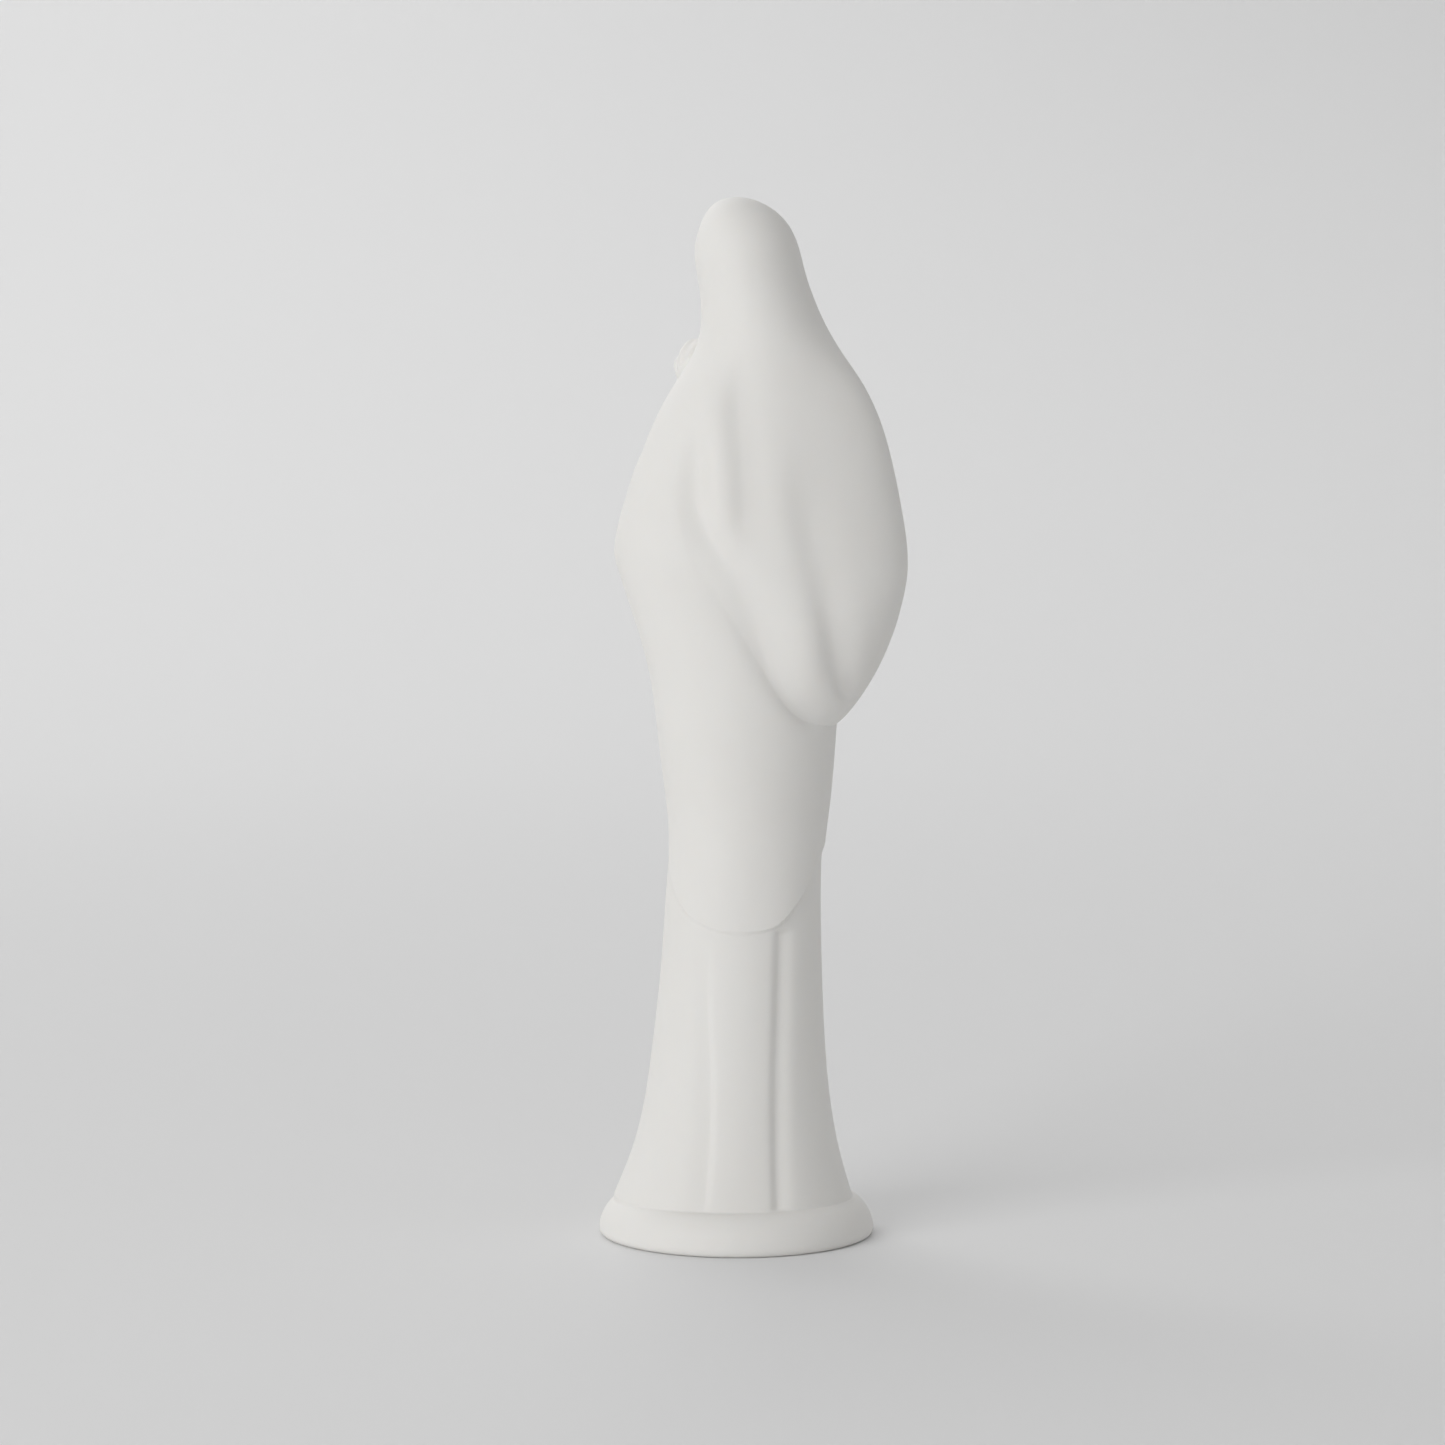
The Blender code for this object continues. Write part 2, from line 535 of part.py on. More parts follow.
def settle(points, rounds):
    """Moves points onto the figure's surface, along its slope."""
    nudge = 0.05
    for _ in range(rounds):
        off = figure_distance(points)
        slope = np.stack(
            [(figure_distance(points + nudge * axis) - off) / nudge for axis in np.eye(3)], axis=1
        )
        size = np.maximum((slope**2).sum(1), 0.15)
        move = slope * (off / size)[:, None]
        length = np.linalg.norm(move, axis=1, keepdims=True)
        points = points - move * np.minimum(1, 3.0 / np.maximum(length, 1e-9))
    return points


def evaluated_mesh(obj):
    graph = bpy.context.evaluated_depsgraph_get()
    return bpy.data.meshes.new_from_object(obj.evaluated_get(graph))


def settle_mesh(mesh, rounds):
    points = np.empty(len(mesh.vertices) * 3)
    mesh.vertices.foreach_get("co", points)
    points = settle(points.reshape(-1, 3) / SHARE, rounds)
    points[:, 2] = np.maximum(points[:, 2], 0)
    mesh.vertices.foreach_set("co", (points * SHARE).ravel())
    mesh.update()


def porcelain():
    material = bpy.data.materials.new("bisque_porcelain")
    material.use_nodes = True
    shader = material.node_tree.nodes["Principled BSDF"]
    shader.inputs["Base Color"].default_value = (0.80, 0.79, 0.76, 1)
    shader.inputs["Roughness"].default_value = 0.6
    shader.inputs["Metallic"].default_value = 0.0
    return material


def rework(figure, kind, rounds, **settings):
    """Applies a modifier and settles the new skin."""
    modifier = figure.modifiers.new("rework", kind)
    for name, value in settings.items():
        setattr(modifier, name, value)
    figure.data = evaluated_mesh(figure)
    figure.modifiers.clear()
    settle_mesh(figure.data, rounds)


def make_figure():
    points, faces = skin(np.array((-REACH, -REACH, -6.0)), np.array((REACH, REACH, CROWN + 6)))
    mesh = bpy.data.meshes.new("virgin_and_child")
    mesh.from_pydata((points * SHARE).tolist(), [], faces.tolist())
    figure = bpy.data.objects.new("virgin_and_child", mesh)
    collection = bpy.data.collections.new("mother_and_child_statuette")
    bpy.context.scene.collection.children.link(collection)
    collection.objects.link(figure)
    settle_mesh(figure.data, 1)
    rework(figure, "REMESH", 2, mode="VOXEL", voxel_size=VOXEL)
    rework(figure, "DECIMATE", 3, ratio=FACES / (2 * len(figure.data.polygons)))
    figure.data.materials.append(porcelain())
    figure.data.shade_smooth()
    return figure


def main():
    for obj in list(bpy.data.objects):
        bpy.data.objects.remove(obj)
    make_figure()


if __name__ == "__main__":
    main()
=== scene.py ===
import math

import bmesh
import bpy
import numpy as np
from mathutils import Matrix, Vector


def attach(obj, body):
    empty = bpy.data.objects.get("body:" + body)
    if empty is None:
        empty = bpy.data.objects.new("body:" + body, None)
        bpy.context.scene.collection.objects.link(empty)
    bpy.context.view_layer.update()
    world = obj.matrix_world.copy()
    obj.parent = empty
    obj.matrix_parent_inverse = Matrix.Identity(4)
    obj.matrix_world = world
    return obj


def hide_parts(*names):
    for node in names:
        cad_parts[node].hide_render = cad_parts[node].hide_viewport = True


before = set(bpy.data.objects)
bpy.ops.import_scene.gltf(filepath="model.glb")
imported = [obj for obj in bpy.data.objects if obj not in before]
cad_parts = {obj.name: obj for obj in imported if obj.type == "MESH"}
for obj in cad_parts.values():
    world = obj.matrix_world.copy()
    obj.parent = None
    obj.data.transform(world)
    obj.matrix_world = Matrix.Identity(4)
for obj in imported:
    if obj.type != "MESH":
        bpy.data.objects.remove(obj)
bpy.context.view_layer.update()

print("frame loaded")

# Bisque statuette of a mother with her child, seen from behind, on a pale studio floor.
# She looks along -Y and her left is +X. Her own sizes are in thousandths of her height,
# and a turn is in degrees from the middle of her back towards her right.

statue = {
    "height": 0.280,          # metres
    "footWidth": 0.0748,      # metres, the round foot's diameter
    "footHeight": 0.0105,     # metres
    "footLedge": 0.0080,      # metres, how far the foot's rounded rim reaches in
    "footEdge": 0.0024,       # metres, softness of the edge it stands on
    "footFillet": 1.2,        # where the robe runs into the foot
    "grid": 0.00062,          # metres, size of the cells that the skin is found in
    "block": 4,               # cells to each coarse step
    "blockReach": 1.8,        # coarse steps from the surface within which each cell is worked out
    "boxLow": (-172.0, -142.0, -6.0),     # the box that the skin is looked for in
    "boxHigh": (142.0, 142.0, 1006.0),
    "triangles": 194000,
    "settleRounds": 2,        # how often the skin's points are moved onto the surface
    "nudge": 0.04,            # the step over which the surface's slope is measured
    "leastSlope": 0.15,       # the least that its square is taken as
    "longestMove": 3.0,       # the furthest that one round moves a point
    "curveSteps": 1600,       # points along each smooth curve
    "capStart": 938.0,        # height where the dome over the crown starts
    "capEnd": 1.5,            # the furthest up that it is worked out, 1 being its top
    "sections": (             # height, reach to her left, right, back and front
        (37.5, 118.6, 112.1, 103.2, 103.2),
        (70, 105.2, 102.6, 93.0, 93.0),
        (100, 95.6, 95.8, 86.0, 86.0),
        (150, 85.7, 88.7, 79.5, 80.0),
        (200, 79.3, 85.0, 75.0, 76.0),
        (250, 73.8, 82.9, 71.0, 73.0),
        (310, 69.4, 81.6, 69.0, 71.0),
        (350, 66.5, 81.6, 68.5, 71.0),
        (383, 64.0, 83.4, 68.0, 72.0),
        (420, 66.6, 88.2, 69.0, 74.0),
        (480, 74.9, 95.0, 72.0, 78.0),
        (540, 83.0, 101.0, 75.5, 82.0),
        (590, 96.0, 106.2, 77.5, 86.0),
        (630, 109.0, 108.5, 79.0, 88.0),
        (662, 115.4, 110.5, 80.0, 88.0),
        (700, 109.0, 113.0, 80.5, 86.0),
        (750, 92.8, 120.3, 78.0, 80.0),
        (788, 77.8, 123.1, 73.5, 74.0),
        (826, 56.8, 114.0, 67.0, 68.0),
        (850, 42.0, 101.2, 63.0, 65.0),
        (880, 34.0, 84.5, 57.5, 62.0),
        (912, 35.5, 70.9, 53.5, 61.0),
        (938, 39.5, 63.2, 52.0, 60.0),
        (955, 41.4, 60.4, 51.5, 59.0),
        (978, 44.8, 58.2, 51.0, 57.0),
        (1000, 54.0, 54.0, 51.0, 56.0),
    ),
    "mantleTop": 862.0,       # height where the mantle's thickness has faded out
    # turn, lower edge, height of the rounded lip, thickness and softness of the lip
    "mantle": (
        (-150, 660, 60, 3.0, 1.6),
        (-120, 720, 60, 0.0, 1.8),
        (-90, 775, 60, 0.0, 1.8),
        (-50, 752, 80, 2.0, 1.8),
        (-38, 722, 90, 4.5, 1.8),
        (-28, 690, 100, 6.5, 1.8),
        (-14, 636, 100, 8.5, 1.7),
        (0, 584, 100, 10.0, 1.6),
        (12, 548, 100, 12.5, 1.5),
        (26, 518, 100, 20.0, 1.3),
        (42, 503, 115, 34.0, 1.1),
        (62, 497, 130, 51.0, 0.9),
        (90, 497, 150, 51.0, 0.8),
        (118, 504, 140, 44.0, 0.9),
        (140, 530, 110, 24.0, 1.2),
        (160, 566, 80, 12.0, 1.5),
        (180, 604, 60, 8.0, 1.6),
    ),
    "hem": (                  # turn, lower edge and thickness of the under-mantle
        (-165, 600, 3.2),
        (-150, 520, 3.4),
        (-125, 432, 2.6),
        (-95, 384, 1.6),
        (-60, 330, 1.0),
        (-25, 304, 0.9),
        (0, 300, 1.4),
        (15, 302, 2.2),
        (27, 307, 3.2),
        (42, 325, 3.6),
        (52, 339, 3.6),
        (68, 363, 2.8),
        (90, 381, 2.6),
        (104, 396, 2.6),
        (130, 440, 3.2),
        (155, 520, 3.4),
        (175, 600, 3.2),
    ),
    "hemStep": 3.5,           # how softly the hem's edge drops to the robe
    "hemFade": (10, 130),     # how far above its edge it starts to thin out, and over how much
    # height, middle, half width and depth of the mantle's opening in front
    "opening": (
        (625, 2, 30, 0.0),
        (660, 0, 42, 4.0),
        (720, -4, 50, 5.0),
        (780, -8, 45, 6.5),
        (815, -10, 38, 11.0),
        (838, -10, 33, 18.0),
        (856, -10, 31, 26.0),
        (880, -10, 31, 27.0),
        (905, -10, 32, 22.0),
        (930, -9, 33, 17.0),
        (970, -8, 33, 12.0),
    ),
    "openingTop": (930.0, 36.0),   # height where its round top starts, and how tall that is
    "openingStep": 9.0,       # how softly its edge drops
    "openingLead": 0.3,       # the share of that drop outside the edge
    "frontSteep": 3.0,        # how soon it has its whole depth as the surface turns to the front
    "frontStart": 0.2,        # how late it begins there
    # each fold: its course as (height, turn), its depth (a ridge's is below zero), its half widths
    # on her left and on her right, and how softly it ends below and above
    "folds": (
        (((38, 22.5), (95, 24.2), (142, 25.5), (189, 26.8), (237, 28.0), (303, 29.4)),
         3.8, 6.0, 10.0, 6, 6),
        (((40, -15.0), (150, -19.0), (252, -26.3)), 2.5, 12.0, 5.0, 60, 180),
        (((712, 31.0), (669, 34.0), (641, 36.0), (612, 38.5), (583, 42.5), (554, 49.0),
          (523, 62.0)), 1.9, 12.0, 13.0, 24, 100),
        (((612, 38.5), (583, 42.5), (554, 49.0), (523, 62.0)), 4.8, 11.0, 12.0, 24, 120),
        (((745, 12.0), (698, 18.8), (641, 24.8), (612, 27.0), (583, 29.0), (555, 32.0),
          (530, 38.8)), -2.4, 13.0, 12.0, 50, 90),
        (((829, -18.0), (782, -10.2), (754, -4.6), (726, -0.2), (698, 3.0), (670, 5.8)),
         4.0, 10.0, 17.0, 90, 60),
        (((763, -32.0), (735, -27.6), (707, -21.0), (669, -7.4), (641, 1.0), (612, 6.2),
          (583, 10.4), (554, 17.2), (525, 30.0), (500, 46.0)), 6.2, 15.0, 17.0, 30, 60),
        (((778, -33.0), (735, -28.0), (700, -19.0), (660, -5.0)), 3.4, 13.0, 13.0, 50, 60),
        (((850, 62.0), (780, 65.0), (720, 68.0), (660, 68.0), (610, 66.0)),
         -8.0, 32.0, 24.0, 80, 60),
        (((44, 176.0), (200, 178.0), (400, 181.0), (590, 182.0)), 4.0, 4.0, 12.0, 30, 30),
        (((44, 152.0), (200, 157.0), (400, 166.0), (560, 172.0)), 3.2, 10.0, 7.0, 50, 50),
        (((44, 203.0), (200, 199.0), (400, 194.0), (590, 190.0)), 3.4, 7.0, 10.0, 50, 50),
        (((44, 228.0), (180, 221.0), (320, 212.0)), 2.4, 9.0, 9.0, 60, 60),
        (((44, 128.0), (180, 137.0), (320, 148.0)), 2.4, 9.0, 9.0, 60, 60),
        (((650, 164.0), (610, 146.0), (575, 126.0), (545, 104.0)), 6.0, 10.0, 10.0, 40, 40),
        (((640, 150.0), (620, 138.0), (600, 122.0)), 4.0, 9.0, 9.0, 24, 24),
        (((822, 168.0), (760, 162.0), (690, 166.0)), 2.6, 7.0, 8.0, 50, 50),
        (((800, 184.0), (740, 177.0), (680, 176.0)), 2.2, 7.0, 7.0, 50, 50),
    ),
    "limbs": {                # points as (x, y, height, radius), then the fillet to what they join
        "neck": (((-13, -12, 900, 20), (-10, -16, 862, 18.5), (-6, -18, 830, 27)), 6),
        "rightArm": (((-104, 0, 716, 32), (-122, -14, 660, 33), (-74, -88, 664, 20)), 16),
        "leftArm": (((70, 0, 728, 24), (88, -16, 662, 25), (62, -88, 672, 19)), 14),
        "rightFall": (((-76, -80, 652, 15), (-90, -68, 600, 16), (-104, -46, 540, 14)), 14),
        "leftFall": (((66, -80, 656, 14), (72, -60, 590, 11), (67, -41, 520, 8),
                      (58, -27, 430, 3)), 14),
    },
    "childFillet": 4.0,
    "child": {                # the same, joined to each other first
        "body": (((30, -72, 800, 17), (31, -77, 764, 22), (30, -84, 722, 28)), 6),
        "gown": (((27, -88, 716, 26), (12, -105, 706, 23), (-3, -111, 688, 19)), 8),
        "hem": (((10, -116, 676, 9), (-6, -121, 672, 8), (-18, -117, 682, 9)), 6),
        "footRight": (((-16, -115, 680, 7.5), (-27, -114, 668, 6.6), (-38, -121, 664, 5.2)), 2),
        "footLeft": (((-3, -118, 672, 7.5), (-9, -118, 660, 6.6), (-20, -127, 657, 5.2)), 2),
        "armRight": (((13, -79, 790, 13), (0, -93, 768, 12), (-12, -86, 780, 10)), 4),
        "armLeft": (((47, -79, 788, 13), (54, -95, 763, 12.5), (39, -105, 750, 10)), 4),
    },
    "childCreases": (         # in front view: points as (x, height), depth and half width
        (((12, 812), (22, 803), (34, 802), (46, 810)), 1.8, 1.6),
        (((8, 748), (22, 741), (38, 742), (54, 750)), 2.0, 2.2),
        (((24, 800), (25, 780), (22, 752)), 1.2, 2.6),
        (((36, 798), (38, 780), (40, 754)), 1.2, 2.6),
        (((18, 738), (4, 722), (-12, 704)), 2.2, 3.2),
        (((26, 738), (16, 720), (2, 700), (-6, 682)), 2.6, 3.2),
        (((36, 738), (30, 720), (20, 702), (8, 682)), 2.2, 3.2),
        (((46, 738), (45, 722), (36, 704)), 1.8, 3.0),
    ),
    # where the mother's dress is creased: furthest back, deepening over, lowest and highest
    "chest": (-20, 15, 660, 880),
    "dressCreases": (         # as the child's
        (((-40, 860), (-30, 846), (-18, 838), (-6, 835), (6, 838), (16, 848)), 2.2, 3.2),
        (((-22, 826), (-20, 780), (-14, 720)), 1.8, 5.0),
        (((-8, 828), (-8, 770), (-6, 700)), 1.8, 5.0),
        (((-36, 800), (-32, 740), (-24, 700)), 1.4, 5.0),
    ),
    "handFillet": 4.0,
    # wrist, knuckles, fingertips, spread of the fingers, thumb's tip and finger radius
    "hands": {
        "motherRight": ((-72, -92, 660), (-50, -110, 652), (-15, -122, 645),
                        (3.0, 4.5, -8.0), (-46, -122, 673), 4.6),
        "motherLeft": ((60, -92, 670), (43, -110, 671), (10, -122, 669),
                       (-1.0, 3.5, 8.6), (38, -120, 692), 4.6),
        "childRight": ((-13, -86, 781), (-21, -82, 786), (-31, -77, 793),
                       (1.5, -1.5, 4.1), (-18, -86, 795), 3.2),
        "childLeft": ((38, -106, 749), (29, -110, 744), (18, -113, 737),
                      (1.5, -2.0, 4.0), (28, -113, 752), 3.2),
    },
    "fingers": {              # thicknesses and bends are in finger radii
        "lengths": (0.86, 1.0, 0.96, 0.78),
        "usual": 4.6,         # the finger radius that the spreads are given for
        "palm": (1.6, 1.25),  # at the wrist and at the knuckles
        "wristSpread": 0.5,   # share of the spread at the wrist
        "tipSpread": 0.25,    # share of the spread that the fingertips lose again
        "bend": (-0.8, 0.3),  # how far the middle joint stands out along y and up
        "finger": (1.1, 1.0, 0.75),    # at the root, the middle joint and the tip
        "thumb": (1.4, 1.1, 0.8),
        "thumbRoot": 0.4,     # its place from the wrist to the knuckles
        "fillet": 1.3,
    },
    "joinMargin": 4,          # how far beyond its fillet a joined form is still worked out
    "headMargin": 8,          # the same for a head, beyond its skull
    "hair": {                 # what both heads of hair have in common
        "wave": (0.02, 6),    # how far the strands wander, and how often round the face
        "combFade": 0.2,      # how softly they begin behind the hairline
        "partingWidth": 1.6,
        "fillet": 1.5,
    },
    "heads": (                # sizes are in each head's own left, front and up
        {
            "centre": (-15, -14, 913), "yaw": 13, "pitch": 13, "roll": 6, "fillet": 3.0,
            "skull": (((0, -4, 4), (31.0, 43, 44), 0), ((0, 8, -20), (23.0, 28, 26.5), 8),
                      ((15, 21, -12), (12, 13, 14), 8), ((0, 27.0, -36.5), (8.5, 8.5, 8.5), 9)),
            "socket": ((12, 45, 7), (9.5, 11, 7.5), 5),
            "details": (
                ((4.2, 39.6, -13.0), (3.0, 3.8, 2.8), 2.5),
                ((11.6, 32.6, 3.6), (7.4, 5.8, 5.2), 1.6),
                ((0, 34.5, -19), (6.0, 4.5, 6.0), 4.0),
            ),
            "ridges": (       # points as (left, front, up, radius), then the fillet
                (((0, 34, 14, 4.0), (0, 39.6, 0, 3.0), (0, 44.2, -10.5, 3.9)), 5.0),
                (((6.5, 35.0, 15.6, 1.2), (13, 34.6, 17.6, 1.4), (20, 29.6, 14.8, 1.0)), 6.0),
                (((-7.6, 35.7, -24.8, 1.2), (0, 38.8, -23.4, 2.3), (7.6, 35.7, -24.8, 1.2)), 1.8),
                (((-5.6, 35.8, -27.8, 1.6), (0, 38.0, -28.8, 2.7), (5.6, 35.8, -27.8, 1.6)), 1.8),
            ),
            "creases": (      # points as (left, front, up), then depth and half width
                (((5.0, 38, 2.0), (11.8, 40, -0.6), (19.0, 34, 2.2)), 1.9, 1.2),
                (((5.5, 38, 9.8), (12, 39, 11.4), (19.5, 33, 9.2)), 1.0, 1.4),
                (((-8.0, 37, -26.2), (0, 41, -26.2), (8.0, 37, -26.2)), 1.2, 1.0),
            ),
            "hair": {
                "cap": ((0, -4, 4), (35.0, 46.5, 48)),
                "oval": (25.0, -5.0, 34.0),    # half width, middle and half height round the face
                "behind": 4.0,                 # how far front the bare oval begins
                "strands": (32.0, 0.0),        # how close they lie outward and round the oval
                "combedFrom": 1.04,            # where they begin, 1 being the oval's edge
                "groove": 0.8,
                "parting": 2.2,
                "edge": 2.0,
            },
        },
        {
            "centre": (29.5, -76, 831), "yaw": -16, "pitch": 0, "roll": -8, "fillet": 2.5,
            "skull": (((0, -2, 3), (27.5, 30, 29), 0), ((0, 7, -14), (20, 19, 17.5), 7),
                      ((12.5, 14, -11), (10.5, 10.5, 10.5), 6), ((0, 21, -25), (5.5, 5.5, 5), 5)),
            "socket": ((10.5, 31, 1), (7.0, 6.6, 5.2), 4),
            "details": (
                ((0, 28.5, -6.5), (3.8, 3.8, 3.0), 3),
                ((10.5, 22.9, -0.8), (6.0, 4.4, 4.4), 1.4),
            ),
            "ridges": (
                (((-4.5, 25.0, -15.4, 1.2), (0, 27.0, -14.6, 1.9), (4.5, 25.0, -15.4, 1.2)), 1.3),
                (((-3.5, 24.8, -18.4, 1.3), (0, 26.5, -19.0, 2.1), (3.5, 24.8, -18.4, 1.3)), 1.3),
            ),
            "creases": (
                (((5.0, 26.5, -2.4), (10.5, 27, -4.0), (16.0, 23.5, -2.2)), 1.3, 1.0),
                (((-5.2, 25.5, -16.9), (0, 28.5, -16.9), (5.2, 25.5, -16.9)), 1.2, 0.9),
            ),
            "hair": {
                "cap": ((0, -3, 3), (29.6, 31.8, 31.2)),
                "oval": (22.5, -7.0, 23.5),
                "behind": 2.0,
                "strands": (9.0, 13.0),
                "combedFrom": 0.88,
                "groove": 1.1,
                "parting": 0.0,
                "edge": 2.0,
            },
        },
    ),
    "finer": (                # places with finer faces: middle and reach
        ((-12, -48, 908), 48),
        ((26, -100, 832), 34),
        ((-18, -84, 786), 20),
        ((24, -110, 744), 18),
        ((-28, -116, 652), 28),
    ),
}
share = statue["height"] / 1000        # metres in one of her own thousandths
footTop = statue["footHeight"] / share
footRadius = statue["footWidth"] / 2 / share
tiny = 1e-9                            # keeps a division from meeting zero


# A smooth curve through points, as a function: a natural cubic spline
def spline(xs, ys):
    xs, ys = np.asarray(xs, float), np.asarray(ys, float)
    step = np.diff(xs)
    slope = np.diff(ys) / step
    matrix = np.eye(len(xs))
    right = np.zeros(len(xs))
    for i in range(1, len(xs) - 1):
        matrix[i, i - 1:i + 2] = step[i - 1], 2 * (step[i - 1] + step[i]), step[i]
        right[i] = 6 * (slope[i] - slope[i - 1])
    bend = np.linalg.solve(matrix, right)
    fine = np.linspace(xs[0], xs[-1], statue["curveSteps"])
    i = np.clip(np.searchsorted(xs, fine) - 1, 0, len(step) - 1)
    low, high = fine - xs[i], xs[i + 1] - fine
    cubic = (bend[i] * high**3 + bend[i + 1] * low**3) / (6 * step[i])
    start = (ys[i] / step[i] - bend[i] * step[i] / 6) * high
    end = (ys[i + 1] / step[i] - bend[i + 1] * step[i] / 6) * low
    values = cubic + start + end
    return lambda x: np.interp(x, fine, values)


# The same, for values that run all the way round the figure
def looped(turns, ys):
    turns = np.asarray(turns, float)
    return spline(np.concatenate([turns - 360, turns, turns + 360]), np.tile(ys, 3))


# One curve for each column of a table but the first
def curvesOf(table, make):
    first, *others = zip(*table)
    return [make(first, other) for other in others]


sectionCurves = curvesOf(statue["sections"], spline)
openingCurves = curvesOf(statue["opening"], spline)
mantleCurves = curvesOf(statue["mantle"], looped)
hemCurves = curvesOf(statue["hem"], looped)
foldCurves = []
for course, *shape in statue["folds"]:
    course = sorted(course)
    curve = spline([point[0] for point in course], [point[1] for point in course])
    foldCurves.append((curve, course[0][0], course[-1][0], *shape))


def smoothStep(x):
    x = np.clip(x, 0, 1)
    return x * x * (3 - 2 * x)


# The union of two distances with a soft fillet
def fused(a, b, fillet):
    part = np.clip(0.5 + 0.5 * (b - a) / fillet, 0, 1)
    return b + (a - b) * part - fillet * part * (1 - part)


# The plain body's cross-section: middle and half width across, then front to back
def section(height):
    left, right, back, front = (curve(height) for curve in sectionCurves)
    return (left - right) / 2, (left + right) / 2, (back - front) / 2, (back + front) / 2


# How far the mantle stands off the body, with a rounded lip along its lower edge
def mantle(turn, height):
    edge, lip, thick, soft = (curve(turn) for curve in mantleCurves)
    peak = edge + lip
    below = np.clip((peak - height) / lip, 0, 1)
    above = np.clip((height - peak) / (statue["mantleTop"] - peak), 0, 1)
    return np.maximum(thick, 0) * (1 - below**2) ** soft * np.cos(above * math.pi / 2) ** 2


# The same for the under-mantle, whose edge is a step and which thins out upwards
def hem(turn, height, radius):
    edge, thick = (curve(turn) for curve in hemCurves)
    steep = (hemCurves[0](turn + 1) - hemCurves[0](turn - 1)) / np.radians(2) / radius
    above = height - edge
    start, length = statue["hemFade"]
    step = smoothStep(above / np.hypot(1, steep) / statue["hemStep"])
    return thick * step * (1 - smoothStep((above - start) / length))


# The depth of one fold, which starts and ends halfway through its two fades
def fold(turn, height, radius, curve, low, high, depth, left, right, lowFade, highFade):
    off = np.radians((turn - curve(height) + 180) % 360 - 180) * radius
    off = off / np.where(off < 0, left, right)
    ends = smoothStep((height - low) / lowFade + 0.5) * smoothStep((high - height) / highFade + 0.5)
    return depth * np.exp(-(off**2)) * ends


# How deep the front is set back inside the mantle, round the face and down the chest
def opening(x, height):
    middle, half, deep = (curve(height) for curve in openingCurves)
    start, tall = statue["openingTop"]
    above = np.maximum(height - start, 0) / tall
    inside = (1 - np.hypot((x - middle) / half, above)) * half
    edge = smoothStep(inside / statue["openingStep"] + statue["openingLead"])
    return np.maximum(deep, 0) * edge


# What the cloth adds to the plain body
def layers(turn, height, radius):
    total = mantle(turn, height) + hem(turn, height, radius)
    for one in foldCurves:
        total = total - fold(turn, height, radius, *one)
    return total


# How far up the dome over the crown a height is
def dome(height):
    return np.clip((height - statue["capStart"]) / (1000 - statue["capStart"]), 0, statue["capEnd"])


def bodyDistance(p):
    x, y, z = p.T
    cx, wide, cy, deep = section(z)
    u, v = (x - cx) / wide, (y - cy) / deep
    level = np.hypot(u, v) + tiny
    radius = np.hypot(x - cx, y - cy) / level
    turn = np.degrees(np.arctan2(-u, v))
    facing = smoothStep(-statue["frontSteep"] * v / level - statue["frontStart"])
    inset = opening(x, z) * facing
    return (np.hypot(level, dome(z)) - 1) * radius - layers(turn, z, radius) + inset


# The round foot: a disc whose upper edge is a quarter of an ellipse
def footDistance(p):
    ledge = statue["footLedge"] / share
    out = np.maximum(np.hypot(p[:, 0], p[:, 1]) - (footRadius - ledge), 0)
    return (np.hypot(out / ledge, np.maximum(p[:, 2], 0) / footTop) - 1) * footTop


# A ball with its own radius in each direction
def ball(p, centre, radii):
    q = (p - np.asarray(centre, float)) / np.asarray(radii, float)
    level = np.linalg.norm(q, axis=1) + tiny
    return level * (level - 1) / (np.linalg.norm(q / np.asarray(radii, float), axis=1) + tiny)


# A round limb along a line of points, each with its radius
def limb(p, line):
    best = np.full(len(p), np.inf)
    for start, end in zip(line, line[1:]):
        a, b = np.asarray(start, float), np.asarray(end, float)
        along = b[:3] - a[:3]
        part = np.clip((p - a[:3]) @ along / (along @ along), 0, 1)
        near = a[:3] + part[:, None] * along
        best = np.minimum(best, np.linalg.norm(p - near, axis=1) - a[3] - part * (b[3] - a[3]))
    return best


# Limbs fused with each other, each with its own fillet
def limbs(p, lines):
    total = limb(p, lines[0][0])
    for line, fillet in lines[1:]:
        total = fused(total, limb(p, line), fillet)
    return total


# Lines cut into what faces the front
def creases(p, lines):
    cut = 0
    flat = p * (1, 0, 1)
    for line, depth, width in lines:
        off = limb(flat, [(x, 0, z, 0) for x, z in line])
        cut = cut + depth * np.exp(-((off / width) ** 2))
    return cut


# Fuses a form with the total, only where points lie near it
def join(total, p, line, fillet, distance):
    line = np.asarray(line, float)
    reach = line[:, 3:].max() + fillet + statue["joinMargin"]
    near = ((p > line[:, :3].min(0) - reach) & (p < line[:, :3].max(0) + reach)).all(1)
    if near.any():
        total[near] = fused(total[near], distance(p[near]), fillet)
    return total


